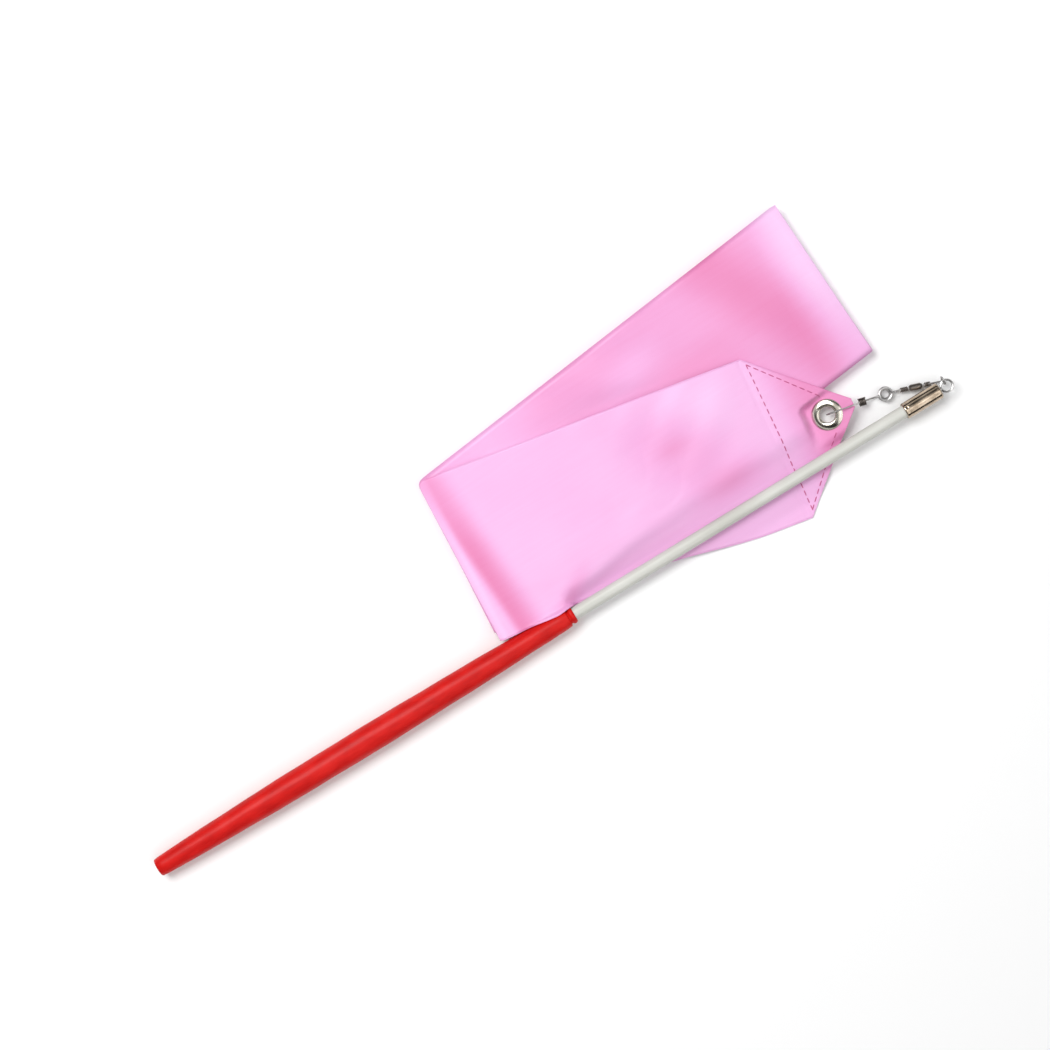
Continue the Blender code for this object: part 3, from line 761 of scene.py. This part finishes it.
def pack_rows():
    """Rows of points along one strip that goes back and forth, layer under layer."""
    folds, slips = pack_slips()
    steps = STEPS_ACROSS["pack"]
    way = unit(PACK_HEADING)
    side = Vector((-way.y, way.x, 0.0))
    top = PACK_TOP - 0.15
    pitch = (top - (FLOOR + 0.12)) / (LAYERS - 1)
    near_low = CREST_LOWER + 0.3 * Y_AXIS
    near_high = near_low + (RIBBON_WIDTH + 0.4) * CREST_WAY
    far_low = near_low + PACK_LENGTH * way
    far_high = far_low + (RIBBON_WIDTH + 0.2) * unit(PACK_FAR_HEADING)
    full_inset = FOLD_CORNER * CREST_WAY
    radius = CREST.z - top
    rows = []
    for i in range(TURN_STEPS):
        angle = math.pi / 2 * i / TURN_STEPS
        shift = (radius - radius * math.cos(angle)) * X_AXIS
        low, high = near_low + shift + full_inset, near_high + shift - full_inset
        rows.append(cloth_row(low, high, CREST.z - radius * math.sin(angle), steps))
    for k in range(LAYERS):
        forward, on_top = k % 2 == 0, k == 0
        z = top - pitch * k
        slide = slips[k] * side
        near_in, skew = folds[k + 1] if forward else folds[k]
        far_in = near_in
        if on_top:
            near_in, far_in, skew = 0.0, 0.3, 0.0
        n_low = near_low + (near_in + skew) * way + slide
        n_high = near_high + (near_in - skew) * way + slide
        f_low = far_low - (far_in + skew) * way + slide
        f_high = far_high - (far_in - skew) * way + slide
        places = places_along([0.0, 0.1, 0.3, 0.7, 1.2], PACK_LENGTH, 66 if on_top else 16)
        for s in places if forward else places[::-1]:
            u, inset = s / PACK_LENGTH, corner(s) * CREST_WAY
            low, high = n_low.lerp(f_low, u) + inset, n_high.lerp(f_high, u) - inset
            rows.append(cloth_row(low, high, z, steps, top_waves if on_top else None))
        if k == LAYERS - 1:
            break
        near_end = (n_low + full_inset, n_high - full_inset, -1.0 * way)
        low, high, outward = (f_low, f_high, way) if forward else near_end
        for i in range(1, TURN_STEPS):
            angle = math.pi * i / TURN_STEPS
            bulge = pitch * 0.9 * math.sin(angle) * outward
            height = z - pitch / 2 + pitch / 2 * math.cos(angle)
            rows.append(cloth_row(low + bulge, high + bulge, height, steps))
    return rows


def make_pack(mat):
    """The folded length, as one piece of cloth."""
    # The pack's colour carries its painted highlights and shade.
    pack = cloth_grid("ribbon_pack_satin", pack_rows(), mat, "pack_body", pack_painted_light)
    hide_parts("ribbon_pack")


def top_waves(x, y):
    """Soft swells of the pack's top layer where the strand doesn't press it flat."""
    edge_run, tip_slope = 97.0, 1.25
    share = min(max((x - CREST_UPPER.x) / edge_run, 0.0), 1.0)
    edge = CREST_UPPER.lerp(HIGH_CORNER, share).y
    if x >= HIGH_CORNER.x:
        edge = HIGH_CORNER.y - tip_slope * (x - HIGH_CORNER.x)
    clear = smooth(y, edge + 0.5, edge + 7.0)
    swell = 0.6 * math.sin(0.09 * (x - 0.7 * y) + 1.2) + 0.6 + 0.25 * math.sin(0.23 * x + 0.31 * y)
    return swell * clear * bump(x, 190.0, 66.0)


# The metal


def make_eyelet(nickel):
    """A flanged eyelet, rolled over under its washer."""
    hole, outer, wide = EYELET_HOLE, EYELET_HOLE + EYELET_WALL, EYELET_RADIUS
    top, low = 0.28, -1.0
    profile = [(hole, top + 0.15), (hole + 0.10, top + 0.36), (hole + 0.32, top + 0.50)]
    profile += [(hole + 0.75, top + 0.55), (hole + 1.4, top + 0.46), (wide - 0.35, top + 0.26)]
    profile += [(wide - 0.08, top + 0.12), (wide, top), (wide - 0.15, top - 0.08), (outer, top - 0.02)]
    profile += [(outer, low), (outer + 0.8, low), (outer + 0.85, low - 0.12)]
    profile += [(outer + 0.6, low - 0.28), (outer, low - 0.32), (hole, low - 0.1)]
    ring = turned("eyelet_ring", profile, EYELET, TIP_NORMAL, nickel, "strand_body", 72,
                  closed=True)
    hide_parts("eyelet")


def make_split_ring(steel):
    """Two flat turns of wire, one on the other, inside the CAD ring's box."""
    low, high = box_mm("split_ring")
    half = (high.z - low.z) / 2 - 0.03
    start = (low + high) / 2 - 0.85 * half * Z_AXIS
    points = coil(start, Z_AXIS, (high.x - low.x) / 2 - half - 0.02, 1.7 * half, 2.0)
    ring = wire("split_ring_turns", points, 0.55 * half, steel, "split_ring_body", wide=1.7)
    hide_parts("split_ring")


def make_windings(dark):
    """The wire that is wound round the swivel's two shanks and the snap's neck."""
    barrel, way = pivot("barrel_spin"), axis("barrel_spin")
    on_shank = SHANK_RADIUS + SHANK_WIRE
    front = coil(barrel + (BARREL_LENGTH + 0.45) * way, way, on_shank, 2.1, 5.0)
    rear = coil(barrel - 2.4 * way, way, on_shank, 1.7, 4.0)
    wire("front_shank_winding", front, SHANK_WIRE, dark, "front_eye_body")
    wire("rear_shank_winding", rear, SHANK_WIRE, dark, "rear_eye_body")
    low, high = box_mm("wound_neck")
    way = axis("snap_swing").cross(Z_AXIS)
    length = (high.x - low.x) * 0.9
    neck = coil((low + high) / 2 - length / 2 * way, way, (high.z - low.z) / 2, length, 5.0)
    # The neck winding's near-black colour is painted shade between its wraps.
    wire("neck_winding", neck, NECK_WIRE, dark, "snap_body_group")


def finish_nodes(steel, dark, red, nickel):
    """The chain and the small turned pieces keep their shape and get their metals."""
    # The wound neck's near-black colour is painted shade between its wraps.
    looks = {"tip_eye": steel, "jump_ring": steel, "rear_eye": steel, "front_eye": steel,
             "snap_body": steel, "snap_gate": steel, "eyelet_washer": nickel,
             "swivel_barrel": dark, "wound_neck": dark, "ferrule_plug": dark, "butt_plug": red}
    for node, mat in looks.items():
        obj = frame["nodes"][node]
        obj.data.materials.clear()
        obj.data.materials.append(mat)
        shade(obj.data, 50.0)


# The stage


def make_stage():
    """A pale floor under the wand, the world and the view's colours."""
    mesh = bpy.data.meshes.new("floor")
    work = bmesh.new()
    bmesh.ops.create_grid(work, x_segments=1, y_segments=1, size=3.0)
    work.to_mesh(mesh)
    work.free()
    floor = bpy.data.objects.new("floor", mesh)
    floor.location.z = (FLOOR - 0.05) * MM
    bpy.context.scene.collection.objects.link(floor)
    mat = bpy.data.materials.new("floor_white")
    mat.use_nodes = True
    shader = mat.node_tree.nodes["Principled BSDF"]
    shader.inputs["Base Color"].default_value = (0.93, 0.93, 0.93, 1.0)
    shader.inputs["Roughness"].default_value = 0.9
    mesh.materials.append(mat)
    bpy.context.scene.world = make_world()
    bpy.context.scene.view_settings.view_transform = "Standard"


def make_world():
    """A white room with dark bands by height, which metal reflects and the camera doesn't see."""
    world = bpy.data.worlds.new("studio")
    world.use_nodes = True
    tree = world.node_tree
    parts = tree.nodes.new("ShaderNodeSeparateXYZ")
    tree.links.new(tree.nodes.new("ShaderNodeTexCoord").outputs["Generated"], parts.inputs[0])
    ramp = tree.nodes.new("ShaderNodeValToRGB")
    marks = ramp.color_ramp.elements
    stops = ((0.0, 0.04), (0.40, 0.05), (0.48, 1.7), (0.60, 1.6), (0.68, 0.05), (0.90, 0.06), (0.97, 1.5))
    while len(marks) < len(stops):
        marks.new(0.5)
    for mark, (at, light) in zip(marks, stops):
        mark.position = at
        mark.color = (light, light, light, 1.0)
    tree.links.new(parts.outputs["Z"], ramp.inputs["Fac"])
    seen = tree.nodes.new("ShaderNodeMix")
    seen.data_type = "RGBA"
    factor, first, second, color = seen.inputs[0], seen.inputs[6], seen.inputs[7], seen.outputs[2]
    tree.links.new(tree.nodes.new("ShaderNodeLightPath").outputs["Is Camera Ray"], factor)
    tree.links.new(ramp.outputs["Color"], first)
    second.default_value = (2.2, 2.2, 2.2, 1.0)
    background = tree.nodes["Background"]
    background.inputs["Strength"].default_value = 0.5
    tree.links.new(color, background.inputs["Color"])
    return world


def from_wand(heading, elevation):
    """The way from the wand to a light, given in degrees."""
    rise = math.radians(elevation)
    return math.cos(rise) * unit(heading) + math.sin(rise) * Z_AXIS


def add_light(light, way, place=None):
    """A light that shines against way, at a place in metres where it needs one."""
    obj = bpy.data.objects.new(light.name, light)
    if place:
        obj.location = place
    obj.rotation_euler = (-1.0 * way).to_track_quat("-Z", "Y").to_euler()
    bpy.context.scene.collection.objects.link(obj)


def make_key(heading, elevation, distance, size, power):
    """A soft disc of light, at a distance in metres from the wand's middle."""
    light = bpy.data.lights.new("key", "AREA")
    light.shape = "DISK"
    light.size = size
    light.energy = power
    middle = Vector((0.14, 0.03, 0.0))
    way = from_wand(heading, elevation)
    add_light(light, way, middle + distance * way)


def make_fill(heading, elevation, spread, strength):
    """Soft light that is even over the whole floor."""
    light = bpy.data.lights.new("fill", "SUN")
    light.energy = strength
    light.angle = math.radians(spread)
    add_light(light, from_wand(heading, elevation))


def make_camera():
    """A camera straight above, turned so that the wand lies as it does in the photograph."""
    camera = bpy.data.cameras.new("camera")
    camera.lens = 85.0
    camera.sensor_width = 36.0
    distance = PICTURE_WIDTH * camera.lens / camera.sensor_width
    obj = bpy.data.objects.new("camera", camera)
    obj.location = Vector((CAMERA_MIDDLE[0], CAMERA_MIDDLE[1], distance)) * MM
    obj.rotation_euler = (0.0, 0.0, math.radians(CAMERA_TURN))
    camera.clip_start = 0.01
    bpy.context.scene.collection.objects.link(obj)
    bpy.context.scene.camera = obj


def main():
    make_camera()
    make_stage()
    make_key(heading=112.0, elevation=62.0, distance=0.9, size=0.5, power=6.6)
    make_fill(heading=-50.0, elevation=55.0, spread=60.0, strength=1.0)
    red = grip_plastic()
    plate = metal("ferrule_plate", (0.20, 0.15, 0.10), (0.70, 0.57, 0.44), 0.12, 0.24, grain=0.08)
    nickel = metal("nickel_plate", (0.50, 0.44, 0.35), (0.80, 0.77, 0.70), 0.12, 0.24, grain=0.06)
    steel = metal("steel_wire", (0.34, 0.33, 0.33), (0.66, 0.65, 0.64), 0.2, 0.4)
    # Near-black metal; on the snap's wound neck and its winding the darkness is painted shade between the
    # wraps.
    dark = metal("dark_plate_and_painted_shade", (0.05, 0.045, 0.04), (0.24, 0.21, 0.19), 0.22, 0.42)
    make_grip(red)
    make_rod(rod_white())
    make_ferrule(plate)
    make_strand(satin("satin_strand", -STRAND_TURN), thread())
    make_pack(satin("satin_pack", -PACK_HEADING))
    make_eyelet(nickel)
    make_split_ring(steel)
    make_windings(dark)
    finish_nodes(steel, dark, red, nickel)


main()
